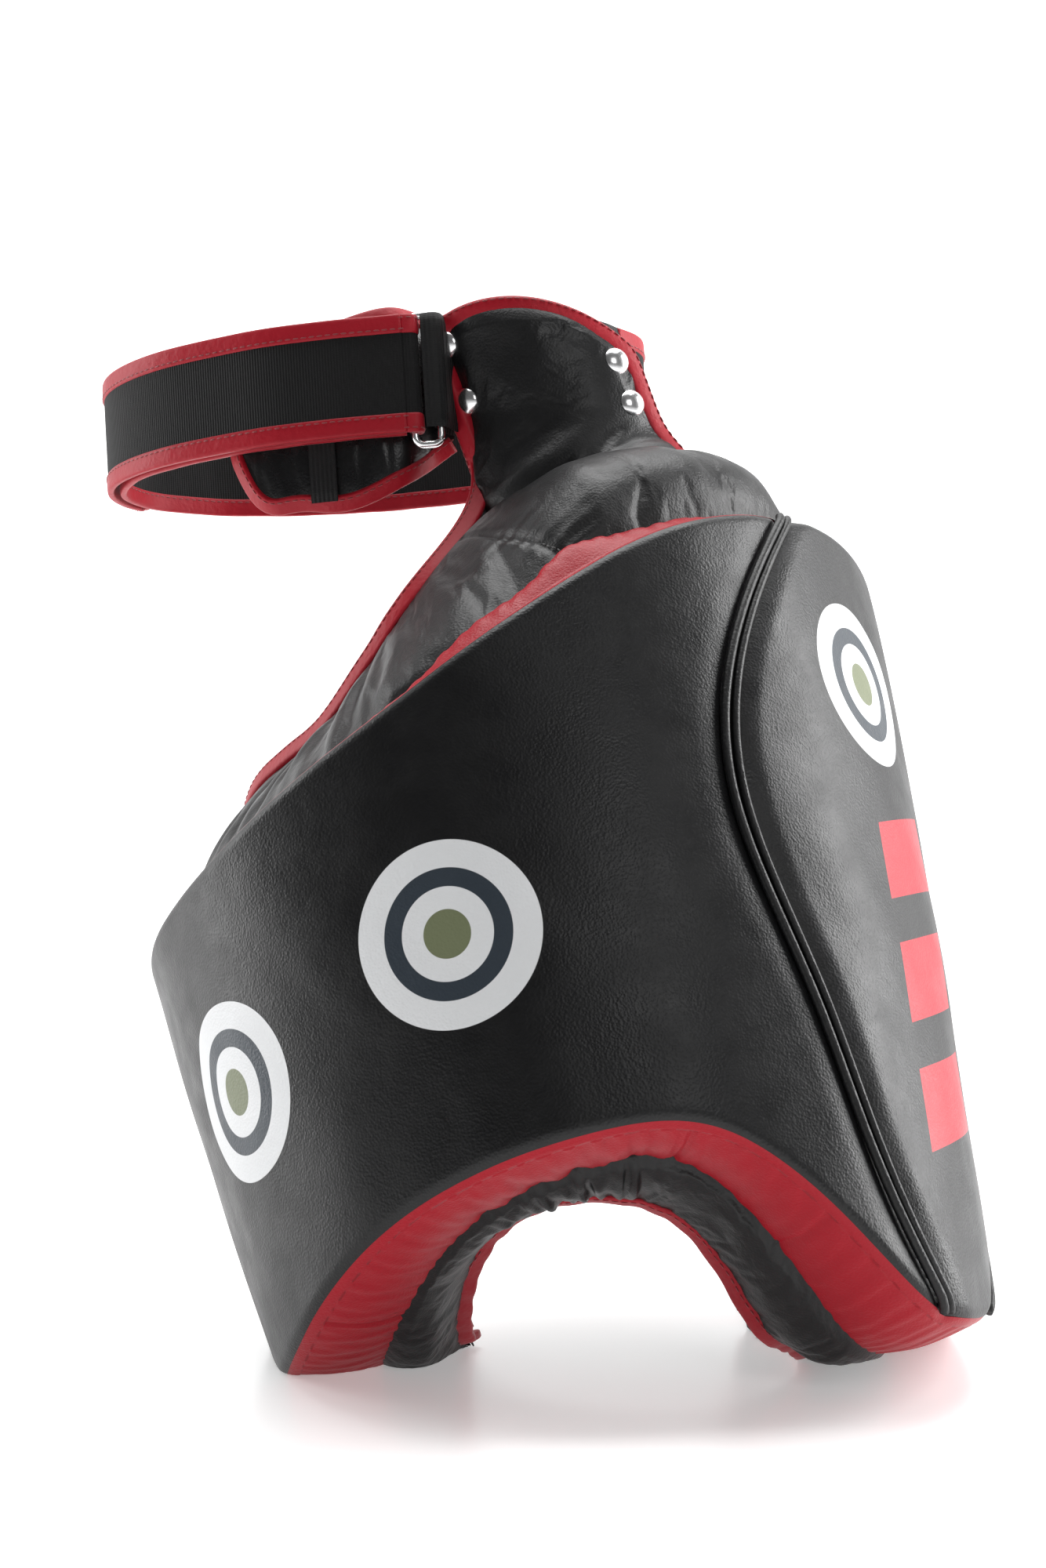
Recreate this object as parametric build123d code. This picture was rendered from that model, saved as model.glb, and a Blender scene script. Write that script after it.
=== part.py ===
from build123d import *
from math import cos, radians, sin
import os

os.makedirs("parts", exist_ok=True)

# Thigh pad for the left leg, standing on its lower edge. All sizes are in mm.
# +Z is up, the front of the thigh faces -Y and the outer side of the thigh faces +X.

# Leg frame: local Z runs up the thigh, local X points to the outer side.
LEG = Plane(origin=(18, 13.5, 178), x_dir=(0.972, 0, 0.236), z_dir=(-0.216, 0.407, 0.888))
FACE_LOW = 148.0      # radius of the strike face 260 mm below the leg frame's origin
FACE_MID = 187.0      # the same at the origin
FACE_HIGH = 208.8     # the same 260 mm above it
INNER_EDGE = -100     # angles round the leg: 0 is the front, 90 the outer side
REAR_EDGE = 140

SKIN = 2.5            # strike face leather
BLOCK_MID = 24.0      # depth of the joint between the two impact foams
BLOCK = 45.0          # depth of the striking block
CUSHION = 85.0        # depth of block and cushion together
LINER = 2.0
COVER = 2.0
GUSSET = 2.0
BINDING = 9.0         # width of the folded edge binding
FOAM_STRIPS = 8       # upright foam strips in the cushion

# Edge lines as (angle round the leg, height up the leg)
BLOCK_TOP = [(-110, 40), (-40, 35), (0, 75), (30, 120), (70, 140), (100, 130), (150, 50)]
BLOCK_ARCH = [(-110, -175), (-60, -175), (-30, -150), (0, -140), (20, -150), (35, -185), (50, -220), (80, -223),
              (150, -215)]
RIM_TOP = [(-110, 70), (-75, 110), (-45, 107), (-15, 140), (15, 188), (50, 205), (85, 195), (150, 100)]
RIM_ARCH = [(-110, -180), (-70, -166), (-40, -146), (5, -147), (30, -174), (45, -206), (60, -215), (150, -222)]

# Seam of the outer side panel as (angle from its middle line, height); it is the same on both sides
PANEL_MIDDLE = 68
PANEL_SEAM = [(9, 165), (24, 105), (37, -10), (30, -100), (18, -200), (9, -235)]
PIPING = 3.5          # half width of the raised piping
PIPING_RISE = 3.0

# Neck frame: the padded tongue over the hip
NECK = Plane(origin=(37.4, 61.5, 413), x_dir=(0.94, 0, 0.342), z_dir=(-0.342, 0.05, 0.938))
NECK_RADIUS = 66.0
NECK_LEFT = -45
NECK_RIGHT = 38
NECK_TOP = [(-60, 85), (-40, 90), (-15, 88), (10, 75), (40, 42), (55, 18)]
NECK_FOOT = [(-60, 32), (0, 7), (55, -22)]
NECK_GAP = 9.0        # hinge gap left for the soft fold
RIVETS = [(-40, 80), (-40, 50), (28, 42), (28, 20)]

# Hip strap loop frame
HIP = Plane(origin=(-68.6, 95.5, 451), x_dir=(0.991, -0.118, 0.075), z_dir=(-0.066, 0.078, 0.995))
HIP_A = 143.0         # half length and half width of the loop, at the ring's bar
HIP_B = 90.0
STRAP = 58.0          # strap width with its bindings
WEB = 2.4             # strap thickness
BOUND = 3.4           # strap thickness at the bindings
LAYER = 3.5           # each layer's distance from the ring's bar
RING_AT = 290         # direction of the ring from the loop's centre, in degrees from local X
RING_WIDTH = 12.5     # distance between the ring's two bars
RING_WIRE = 1.75

# Rear thigh straps as heights up the leg
THIGH_STRAPS = {"lower": -60, "upper": 22}
THIGH_STRAP = 46.0


def on_leg(angle, radius, height):
    """A point given by its angle round an axis, radius and height."""
    turn = radians(angle - 90)
    return Vector(radius * cos(turn), radius * sin(turn), height)


def face_radius(height):
    """Radius of the strike face at a height."""
    bow = FACE_MID - (FACE_LOW + FACE_HIGH) / 2
    return FACE_MID + (FACE_HIGH - FACE_LOW) * height / 520 - bow * (height / 260) ** 2


def wall(outside, inside, start=INNER_EDGE, end=REAR_EDGE):
    """The leg-shaped wall between two depths below the strike face."""
    heights = (-260, 0, 260)
    radii = (FACE_LOW, FACE_MID, FACE_HIGH)
    outer = [(r - outside, h) for r, h in zip(radii, heights)]
    inner = [(r - inside, h) for r, h in zip(radii, heights)]
    edges = [
        ThreePointArc(*outer),
        Line(outer[2], inner[2]),
        ThreePointArc(*reversed(inner)),
        Line(inner[0], outer[0]),
    ]
    profile = Plane.XZ * make_face(edges)
    return Rot(0, 0, start - 90) * revolve(profile, Axis.Z, revolution_arc=end - start)


def beyond(lines, way):
    """Everything above (way 1) or below (way -1) the surface ruled through edge lines."""
    curves = [Spline(*[on_leg(a, r, h) for a, r, h in line]) for line in lines]
    body = None
    for first, second in zip(curves, curves[1:]):
        strip = extrude(Face.make_surface_from_curves(first.edge(), second.edge()), 600, dir=(0, 0, way))
        body = strip if body is None else body + strip
    return body


def level(line, way, shift=0.0):
    """Cutter that follows an edge line straight out from the leg's axis."""
    return beyond([[(a, r, h + shift) for a, h in line] for r in (35, 290)], way)


def collar(shift=0.0):
    """Cutter above the cushion's sloping collar."""
    rim = [(a, face_radius(h) - CUSHION, h + shift) for a, h in RIM_TOP]
    inside = [(a, 35, h + shift) for a, h in RIM_TOP]
    foot = []
    for angle, _ in RIM_TOP:
        h = edge_height(BLOCK_TOP, angle)
        foot.append((angle, face_radius(h) - BLOCK + 4, h + shift))
    outside = [(a, 290, h) for a, r, h in foot]
    return beyond([inside, rim, foot, outside], 1)


def edge_height(line, angle):
    """Height of an edge line at an angle."""
    for (a0, h0), (a1, h1) in zip(line, line[1:]):
        if a0 <= angle <= a1:
            return h0 + (h1 - h0) * (angle - a0) / (a1 - a0)
    return line[-1][1]


def panel_prism(grow):
    """Solid that cuts out the side panel, grown or shrunk by a margin."""
    right = [(a + grow / 3.2, h) for a, h in PANEL_SEAM]
    left = [(-a, h) for a, h in reversed(right)]
    sections = []
    for distance in (90, 230):
        points = [(distance * sin(radians(a)) / cos(radians(a)), h) for a, h in right + left]
        plane = Plane(origin=on_leg(PANEL_MIDDLE, distance, 0), x_dir=on_leg(PANEL_MIDDLE + 90, 1, 0),
                      z_dir=on_leg(PANEL_MIDDLE, 1, 0))
        sections.append(plane * make_face(Polyline(*points, close=True)))
    return loft(sections, ruled=True)


def sleeve(inner, outer, start, end, low, high):
    """Plain cylindrical wall between two angles round a frame's axis."""
    profile = Plane.XZ * (Pos((inner + outer) / 2, (low + high) / 2) * Rectangle(outer - inner, high - low))
    return Rot(0, 0, start - 90) * revolve(profile, Axis.Z, revolution_arc=end - start)


def ribbon(points, thickness, low, high):
    """Strip of webbing along a smooth line, standing between two heights."""
    line = Spline(*points)
    sides = []
    for side in (-0.5, 0.5):
        shifted = []
        for i in range(len(points)):
            tangent = line % (i / (len(points) - 1))
            spot = line @ (i / (len(points) - 1))
            shifted.append((spot.X - tangent.Y * side * thickness, spot.Y + tangent.X * side * thickness))
        sides.append(shifted)
    first, second = Spline(*sides[0]), Spline(*reversed(sides[1]))
    face = make_face([first, Line(sides[0][-1], sides[1][-1]), second, Line(sides[1][0], sides[0][0])])
    return Pos(0, 0, low) * extrude(face, high - low, dir=(0, 0, 1))


def hip_band(offset, thickness, start, end, low, high):
    """Part of the hip loop: a band of an ellipse between two directions."""
    rings = Ellipse(HIP_A + offset + thickness / 2, HIP_B + offset + thickness / 2)
    rings -= Ellipse(HIP_A + offset - thickness / 2, HIP_B + offset - thickness / 2)
    steps = 8
    fan = [(0, 0)]
    for i in range(steps + 1):
        turn = radians(start + (end - start) * i / steps)
        fan.append((600 * cos(turn), 600 * sin(turn)))
    band = rings & make_face(Polyline(*fan, close=True))
    return Pos(0, 0, low) * extrude(band, high - low, dir=(0, 0, 1))


def on_loop(direction, offset):
    """Point of the hip loop in a direction from its centre."""
    turn = radians(direction)
    a, b = HIP_A + offset, HIP_B + offset
    reach = a * b / ((b * cos(turn)) ** 2 + (a * sin(turn)) ** 2) ** 0.5
    return Vector(reach * cos(turn), reach * sin(turn), 0)


parts = {}
floor = Pos(0, 0, -200) * Box(1400, 1400, 400)


def put(name, solid, plane=None):
    """Place a piece, trim it flat at the floor and keep it."""
    placed = solid if plane is None else plane.location * solid
    if plane is LEG:
        placed = placed - floor
    placed.label = name
    parts[name] = placed


# Striking block: leather faces, piping, red gussets and two foams
above_block = level(BLOCK_TOP, 1)
below_block = level(BLOCK_ARCH, -1)
above_foam = level(BLOCK_TOP, 1, -GUSSET)
below_foam = level(BLOCK_ARCH, -1, GUSSET)
outside_piping = panel_prism(PIPING)
inside_piping = panel_prism(-PIPING)

skin = wall(0, SKIN) - above_block - below_block
put("outer_side_panel", skin & inside_piping, LEG)
faces = sorted((skin - outside_piping).solids(), key=lambda s: s.center().Y)
put("strike_panel_front", faces[0], LEG)
put("strike_panel_rear", faces[-1], LEG)
ridge = (wall(-PIPING_RISE, SKIN) - above_block - below_block) & (outside_piping - inside_piping)
ridges = sorted(ridge.solids(), key=lambda s: s.center().Y)
put("piping_front", ridges[0], LEG)
put("piping_rear", ridges[-1], LEG)

side = wall(SKIN, BLOCK)
put("gusset_top", side - above_block - level(BLOCK_TOP, -1, -GUSSET), LEG)
put("gusset_arch", side - below_block - level(BLOCK_ARCH, 1, GUSSET), LEG)
end_turn = 0.7
put("gusset_inner_end", wall(SKIN, BLOCK, INNER_EDGE, INNER_EDGE + end_turn) - above_foam - below_foam, LEG)
put("gusset_rear_end", wall(SKIN, BLOCK, REAR_EDGE - end_turn, REAR_EDGE) - above_foam - below_foam, LEG)
for name, out, inn in (("impact_foam_outer", SKIN, BLOCK_MID), ("impact_foam_middle", BLOCK_MID, BLOCK)):
    foam = wall(out, inn, INNER_EDGE + end_turn, REAR_EDGE - end_turn) - above_foam - below_foam
    put(name, foam, LEG)

# Cushion next to the leg: foam in a cover, a smooth liner and one binding round the liner's edge
hem = wall(CUSHION - 3, CUSHION + 4, INNER_EDGE + 2, REAR_EDGE - 2)
hem = hem - level(RIM_TOP, 1, 2) - level(RIM_ARCH, -1, -2)
window = wall(CUSHION - 10, CUSHION + 10, INNER_EDGE + 7, REAR_EDGE - 7)
window = window - level(RIM_TOP, 1, 2 - BINDING) - level(RIM_ARCH, -1, BINDING - 2)
put("liner_binding", hem - window, LEG)
jacket = wall(BLOCK, CUSHION, INNER_EDGE + 3, REAR_EDGE - 3) - collar() - level(RIM_ARCH, -1)
above_strips = collar(-3)
below_strips = level(RIM_ARCH, -1, COVER)
edging = hem - window
filling = wall(BLOCK + COVER, CUSHION, INNER_EDGE + 4, REAR_EDGE - 4) - above_strips - below_strips
put("cushion_cover", jacket - filling - edging, LEG)
strip_turn = (REAR_EDGE - INNER_EDGE - 8) / FOAM_STRIPS
for i in range(FOAM_STRIPS):
    first = INNER_EDGE + 4 + i * strip_turn
    foam_strip = wall(BLOCK + COVER, CUSHION, first, first + strip_turn) - above_strips - below_strips
    put("cushion_foam_" + str(i + 1), foam_strip - edging, LEG)
lining = wall(CUSHION + 0.05, CUSHION + LINER, INNER_EDGE + 7, REAR_EDGE - 7)
lining = lining - level(RIM_TOP, 1, 2 - BINDING) - level(RIM_ARCH, -1, BINDING - 2)
put("thigh_liner", lining, LEG)

# Neck: padded tongue that folds over the hip, in layers inside a binding
neck_out = NECK_RADIUS
above_neck = level(NECK_TOP, 1)
below_neck = level(NECK_FOOT, -1)
above_field = level(NECK_TOP, 1, -BINDING)
field_left = NECK_LEFT + 8
field_right = NECK_RIGHT - 8
holes = None
for angle, height in RIVETS:
    hole = Plane(origin=on_leg(angle, 40, height), z_dir=on_leg(angle, 1, 0)).location * Cylinder(2.5, 60)
    holes = hole if holes is None else holes + hole
field = sleeve(54, neck_out, field_left, field_right, -60, 130) - above_field - below_neck
frame_wall = sleeve(54.5, neck_out - 0.5, NECK_LEFT, NECK_RIGHT, -60, 130) - above_neck - below_neck
put("neck_binding", frame_wall - field - holes, NECK)
field = field - holes
put("neck_cover", field & sleeve(neck_out - COVER, neck_out + 1, -90, 90, -80, 150), NECK)
put("neck_foam", field & sleeve(56, neck_out - COVER, -90, 90, -80, 150), NECK)
put("neck_backing", field & sleeve(50, 56, -90, 90, -80, 150), NECK)
caps = []
posts = []
for angle, height in RIVETS:
    seat = Plane(origin=on_leg(angle, neck_out, height), z_dir=on_leg(angle, 1, 0)).location
    dome = Pos(0, 0, -5.5) * Sphere(9) & Pos(0, 0, 2) * Box(14, 14, 4)
    caps.append(seat * dome)
    posts.append(seat * (Pos(0, 0, -6.6) * Cylinder(2.5, 13.2)))
    posts.append(seat * (Pos(0, 0, -13.3) * Cylinder(6, 1.4)))
put("rivet_caps", Compound(caps), NECK)
washers = [posts[i] + posts[i + 1] for i in range(0, len(posts), 2)]
put("rivet_posts", Compound(washers), NECK)

# Neck base: the part of the tongue below the fold, sewn to the cushion's collar
base = sleeve(54, neck_out, NECK_LEFT, NECK_RIGHT + 6, -90, 60) - level(NECK_FOOT, 1, -NECK_GAP)
base = NECK.location * base
inside_rim = LEG.location * wall(-40, CUSHION - 4, -110, 170)
put("neck_base", (base & inside_rim) - (LEG.location * (wall(BLOCK - 1, CUSHION + 4) - collar())))

# Hip strap loop
half = STRAP / 2
start = -14
stop = RING_AT - 2.2
low = -half
put("strap_elastic", hip_band(-LAYER, WEB, start, stop, low + BINDING, half - BINDING), HIP)
put("strap_binding_upper", hip_band(-LAYER, BOUND, start, stop, half - BINDING, half), HIP)
put("strap_binding_lower", hip_band(-LAYER, BOUND, start, stop, low, low + BINDING), HIP)
put("strap_loop_patch", hip_band(-LAYER + WEB / 2 + 0.7, 1.4, 200, 262, -19, 19), HIP)
tip = 168
begin = RING_AT - 3.6
put("strap_free_end", hip_band(LAYER, WEB, tip + 3, begin, low + BINDING, half - BINDING), HIP)
put("free_end_binding_upper", hip_band(LAYER, BOUND, tip + 3, begin, half - BINDING, half), HIP)
put("free_end_binding_lower", hip_band(LAYER, BOUND, tip + 3, begin, low, low + BINDING), HIP)
put("free_end_tip", hip_band(LAYER, BOUND, tip, tip + 3, low, half), HIP)
put("hook_patch", hip_band(LAYER - WEB / 2 - 0.7, 1.4, 196, 250, -19, 19), HIP)

# Ring between strap and neck
bar = on_loop(RING_AT, 0)
along = (on_loop(RING_AT + 3, 0) - on_loop(RING_AT - 3, 0)).normalized()
out = Vector(along.Y, -along.X, 0)
ring_plane = Plane(origin=bar + along * RING_WIDTH / 2, x_dir=along, z_dir=out)
path = (ring_plane * RectangleRounded(RING_WIDTH, STRAP + 8, 4)).face().outer_wire()
section = Plane(origin=path @ 0, z_dir=path % 0) * Circle(RING_WIRE)
put("hip_ring", sweep(section, path=path), HIP)
fold = Cylinder(LAYER + WEB / 2, STRAP) - Cylinder(RING_WIRE + 0.05, STRAP + 2)
fold = fold & Pos(10, 0, 0) * Box(20, 40, 90)
fold = Plane(origin=(0, 0, 0), x_dir=along, z_dir=(0, 0, 1)).location * fold
put("strap_fold", Pos(bar) * fold, HIP)
hub = bar + along * RING_WIDTH
tube = Cylinder(4.6, 50) - Cylinder(RING_WIRE + 0.4, 60)
anchor_steps = [(0, 4.2), (0.5, 12), (6, 21), (13, 24)]
anchor_line = [hub + along * step - out * inward for step, inward in anchor_steps]
strip = ribbon([(p.X, p.Y) for p in anchor_line], WEB, -25, 25)
neck_fill = NECK.location * sleeve(51, neck_out + 1, NECK_LEFT, NECK_RIGHT, -60, 130)
anchor = (HIP.location * (Pos(hub) * tube + strip)) - neck_fill - parts["rivet_caps"] - parts["rivet_posts"]
put("ring_anchor", anchor.solids().sort_by(SortBy.VOLUME)[-1])
tail = on_loop(start - 1.5, -LAYER)
tail_line = [tail, tail + Vector(-4, -10, 0), tail + Vector(-11, -22, 0), tail + Vector(-20, -32, 0)]
tab = ribbon([(p.X, p.Y) for p in tail_line], WEB, low, half)
put("strap_start_tab", HIP.location * tab - neck_fill)

# Comfort flap between strap and hip
deep = LAYER + 6.5
flap = hip_band(-deep, 5, 236, 283, -half - 24, half + 1)
flap = flap - hip_band(-deep, 8, 230, 241, -half - 30, -half - 8)
trim = hip_band(-deep, 7, 234, 283, -half - 25.5, -half - 18)
put("comfort_flap", flap - trim, HIP)
put("comfort_flap_binding", (trim & hip_band(-deep, 9, 241, 283, -half - 30, half)), HIP)
put("flap_keeper", hip_band(-deep + 4.4, 1.6, 254, 262, -half - 25, -half - 1), HIP)

# Rear thigh straps, hook tabs and the patches they close on
for name, height in THIGH_STRAPS.items():
    hold = face_radius(height + THIGH_STRAP / 2) + 2.6
    path_points = [(259.5, hold - 34), (235, hold - 33), (205, hold - 26), (175, hold - 14)]
    path_points += [(150, hold + 1.2), (132, hold + 1.2)]
    spots = [on_leg(a, r, 0) for a, r in path_points]
    web = ribbon([(p.X, p.Y) for p in spots], WEB, height - THIGH_STRAP / 2, height + THIGH_STRAP / 2)
    put("thigh_strap_" + name, web, LEG)
    tab = sleeve(hold, hold + WEB, 118, 131.5, height - THIGH_STRAP / 2, height + THIGH_STRAP / 2)
    put("hook_tab_" + name, tab, LEG)
    patch = wall(-1, 0, 116, 136) & sleeve(150, 230, 100, 150, height - 20, height + 20)
    put("loop_patch_" + name, patch, LEG)

for name, piece in parts.items():
    export_step(piece, "parts/" + name + ".step")
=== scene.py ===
import math

import bpy
import numpy as np
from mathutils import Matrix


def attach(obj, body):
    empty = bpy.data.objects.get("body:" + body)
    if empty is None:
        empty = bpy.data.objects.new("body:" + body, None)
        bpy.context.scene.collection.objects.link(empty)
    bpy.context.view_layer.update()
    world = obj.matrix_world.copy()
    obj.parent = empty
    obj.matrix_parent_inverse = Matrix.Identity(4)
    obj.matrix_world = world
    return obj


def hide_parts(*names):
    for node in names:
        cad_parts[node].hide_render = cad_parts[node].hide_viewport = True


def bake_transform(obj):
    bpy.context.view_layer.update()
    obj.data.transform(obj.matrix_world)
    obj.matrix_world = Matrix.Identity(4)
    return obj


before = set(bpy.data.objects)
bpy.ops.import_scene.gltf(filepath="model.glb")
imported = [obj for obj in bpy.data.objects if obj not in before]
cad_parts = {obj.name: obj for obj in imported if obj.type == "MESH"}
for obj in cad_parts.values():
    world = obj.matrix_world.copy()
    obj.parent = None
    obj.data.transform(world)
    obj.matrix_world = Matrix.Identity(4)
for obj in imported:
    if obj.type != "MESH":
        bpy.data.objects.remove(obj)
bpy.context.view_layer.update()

# Leg, neck and hip frames, the same as in the CAD.
# Angles are degrees round the leg, with 0 at the front and 90 at the outer side. Lengths are mm.
LEG_O = np.array([18, 13.5, 178.0])
LEG_U = np.array([0.972, 0, 0.236])
LEG_W = np.array([-0.216, 0.407, 0.888])
NECK_O = np.array([37.4, 61.5, 413.0])
NECK_U = np.array([0.94, 0, 0.342])
NECK_W = np.array([-0.342, 0.05, 0.938])
HIP_O = np.array([-68.6, 95.5, 451.0])
HIP_U = np.array([0.991, -0.118, 0.075])
HIP_W = np.array([-0.066, 0.078, 0.995])

BLOCK_TOP = [(-110, 40), (-40, 35), (0, 75), (30, 120), (70, 140), (100, 130), (150, 50)]
BLOCK_ARCH = [(-110, -175), (-60, -175), (-30, -150), (0, -140), (20, -150), (35, -185), (50, -220),
              (80, -223), (150, -215)]
RIM_TOP = [(-110, 70), (-75, 110), (-45, 107), (-15, 140), (15, 188), (50, 205), (85, 195), (150, 100)]
RIM_ARCH = [(-110, -180), (-70, -166), (-40, -146), (5, -147), (30, -174), (45, -206), (60, -215),
            (150, -222)]
PANEL_SEAM = [(-235, 9), (-200, 18), (-100, 30), (-10, 37), (105, 24), (165, 9)]
NECK_TOP = [(-60, 85), (-40, 90), (-15, 88), (10, 75), (40, 42), (55, 18)]
NECK_FOOT = [(-60, 32), (0, 7), (55, -22)]
RIVETS = [(-40, 80), (-40, 50), (28, 42), (28, 20)]


def smooth_line(points):
    """Natural cubic spline through (x, y) points, as a function."""
    x, y = np.array(sorted(points), float).T
    n, h = len(x), np.diff(x)
    a, b = np.eye(n), np.zeros(n)
    for i in range(1, n - 1):
        a[i, i - 1:i + 2] = h[i - 1], 2 * (h[i - 1] + h[i]), h[i]
        b[i] = 3 * ((y[i + 1] - y[i]) / h[i] - (y[i] - y[i - 1]) / h[i - 1])
    c = np.linalg.solve(a, b)

    def at(q):
        q = np.asarray(q, float)
        i = np.clip(np.searchsorted(x, q) - 1, 0, n - 2)
        t = q - x[i]
        slope = (y[i + 1] - y[i]) / h[i] - h[i] * (2 * c[i] + c[i + 1]) / 3
        return y[i] + t * (slope + t * (c[i] + t * (c[i + 1] - c[i]) / (3 * h[i])))

    return at


top_edge, arch_edge = smooth_line(BLOCK_TOP), smooth_line(BLOCK_ARCH)
rim_top, rim_arch = smooth_line(RIM_TOP), smooth_line(RIM_ARCH)
panel_half, neck_top, neck_foot = smooth_line(PANEL_SEAM), smooth_line(NECK_TOP), smooth_line(NECK_FOOT)


def face_radius(h):
    return 187 + 60.8 * h / 520 - 8.6 * (h / 260) ** 2


def placed(origin, u, w, angle, radius, height):
    """Points from angle, radius and height round an axis, in metres."""
    angle, radius, height = np.broadcast_arrays(np.radians(angle), radius, height)
    v = np.cross(w, u)
    spots = (radius * np.sin(angle))[..., None] * u - (radius * np.cos(angle))[..., None] * v
    return (spots + height[..., None] * w + origin) / 1000


def leg(angle, radius, height):
    return placed(LEG_O, LEG_U, LEG_W, angle, radius, height)


def neck(angle, radius, height):
    return placed(NECK_O, NECK_U, NECK_W, angle, radius, height)


def hip(x, y, z):
    x, y, z = np.broadcast_arrays(np.asarray(x, float), y, z)
    v = np.cross(HIP_W, HIP_U)
    return (HIP_O + x[..., None] * HIP_U + y[..., None] * v + z[..., None] * HIP_W) / 1000


def step(edge0, edge1, x):
    t = np.clip((np.asarray(x, float) - edge0) / (edge1 - edge0), 0, 1)
    return t * t * (3 - 2 * t)


def hump(x, low, high, soft):
    """1 between low and high, falling to 0 over a soft margin."""
    return step(low - soft, low + soft, x) * (1 - step(high - soft, high + soft, x))


def folds(x, y, seed, size, count=7):
    """Soft irregular folds running along y, about size apart in x; from -1 to 1."""
    rng = np.random.default_rng(seed)
    total = np.zeros(np.broadcast(x, y).shape)
    for _ in range(count):
        k = 2 * math.pi / (size * rng.uniform(0.6, 1.7))
        bend = rng.uniform(-0.6, 0.6)
        phase = k * (x + bend * y) + rng.uniform(0, 6.3)
        total = total + np.sin(phase + 1.2 * np.sin(y * k * 0.35 + rng.uniform(0, 6)))
    total = total / math.sqrt(count)
    return np.tanh(1.1 * total)


def pleats(x, y, seed, size, drift=1.0, count=4):
    """Rounded gathers with narrow valleys, running along y and wandering a little; from -1 to 1."""
    rng = np.random.default_rng(seed)
    total = np.zeros(np.broadcast(x, y).shape)
    for _ in range(count):
        k = 2 * math.pi / (size * rng.uniform(0.75, 1.45))
        lean = rng.uniform(-1, 1) * drift
        phase = k * (x + lean * y) + rng.uniform(0, 6.3)
        total = total + np.sin(phase + 0.5 * np.sin(2.2 * y + rng.uniform(0, 6)))
    return np.tanh(1.2 * total / math.sqrt(count))


def rim_drop(angle):
    """How far the soft rim sinks near the inner end."""
    return 9 * (1 - step(-92, -44, angle))


def rim_out(angle):
    """The rim spreads away from the leg towards the cushion's inner end."""
    return 26 * (1 - step(-100, -46, angle))


def mesh(name, verts, faces, uvs=None):
    data = bpy.data.meshes.new(name)
    data.from_pydata([tuple(v) for v in verts], [], faces)
    if uvs is not None:
        layer = data.uv_layers.new(name="UVMap")
        loops = np.empty(len(data.loops), np.int32)
        data.loops.foreach_get("vertex_index", loops)
        layer.data.foreach_set("uv", np.asarray(uvs, np.float32)[loops].ravel())
    data.polygons.foreach_set("use_smooth", [True] * len(data.polygons))
    obj = bpy.data.objects.new(name, data)
    bpy.context.scene.collection.objects.link(obj)
    return obj


def grid(name, points, wrap_u=False, wrap_v=False, flip=False):
    """Smooth surface through a grid of points, with UVs in metres along its two directions."""
    nu, nv = points.shape[:2]
    index = np.arange(nu * nv).reshape(nu, nv)
    a = index if wrap_u else index[:-1]
    b = np.roll(index, -1, 0) if wrap_u else index[1:]
    if wrap_v:
        quads = np.stack([a, b, np.roll(b, -1, 1), np.roll(a, -1, 1)], -1)
    else:
        quads = np.stack([a[:, :-1], b[:, :-1], b[:, 1:], a[:, 1:]], -1)
    quads = quads.reshape(-1, 4)
    if flip:
        quads = quads[:, ::-1]
    du = np.linalg.norm(np.diff(points, axis=0), axis=2).mean(1)
    dv = np.linalg.norm(np.diff(points, axis=1), axis=2).mean(0)
    u, v = np.concatenate([[0], np.cumsum(du)]), np.concatenate([[0], np.cumsum(dv)])
    uv = np.stack(np.meshgrid(u, v, indexing="ij"), -1).reshape(-1, 2)
    return mesh(name, points.reshape(-1, 3), quads.tolist(), uv)


def unit(v):
    return v / np.maximum(np.linalg.norm(v, axis=-1, keepdims=True), 1e-12)


def resample(path, spacing):
    """Points evenly spaced along a line, in metres."""
    path = np.asarray(path, float)
    length = np.concatenate([[0], np.cumsum(np.linalg.norm(np.diff(path, axis=0), axis=1))])
    count = max(int(length[-1] / spacing), 2)
    want = np.linspace(0, length[-1], count + 1)
    return np.stack([np.interp(want, length, path[:, i]) for i in range(3)], -1)


def eased(path, rounds=3):
    """Rounds a line's corners, keeping its ends."""
    path = np.asarray(path, float)
    for _ in range(rounds):
        cut = [path[0]]
        for p, q in zip(path, path[1:]):
            cut += [0.75 * p + 0.25 * q, 0.25 * p + 0.75 * q]
        path = np.array(cut + [path[-1]])
    return path


def joined(start, leave, end, arrive, count=24):
    """Smooth curve between two points, leaving and arriving along the given directions."""
    t = np.linspace(0, 1, count)[:, None]
    reach = np.linalg.norm(end - start)
    leave, arrive = unit(leave) * reach, unit(arrive) * reach
    return ((2 * t ** 3 - 3 * t ** 2 + 1) * start + (t ** 3 - 2 * t ** 2 + t) * leave
            + (3 * t ** 2 - 2 * t ** 3) * end + (t ** 3 - t ** 2) * arrive)


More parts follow.
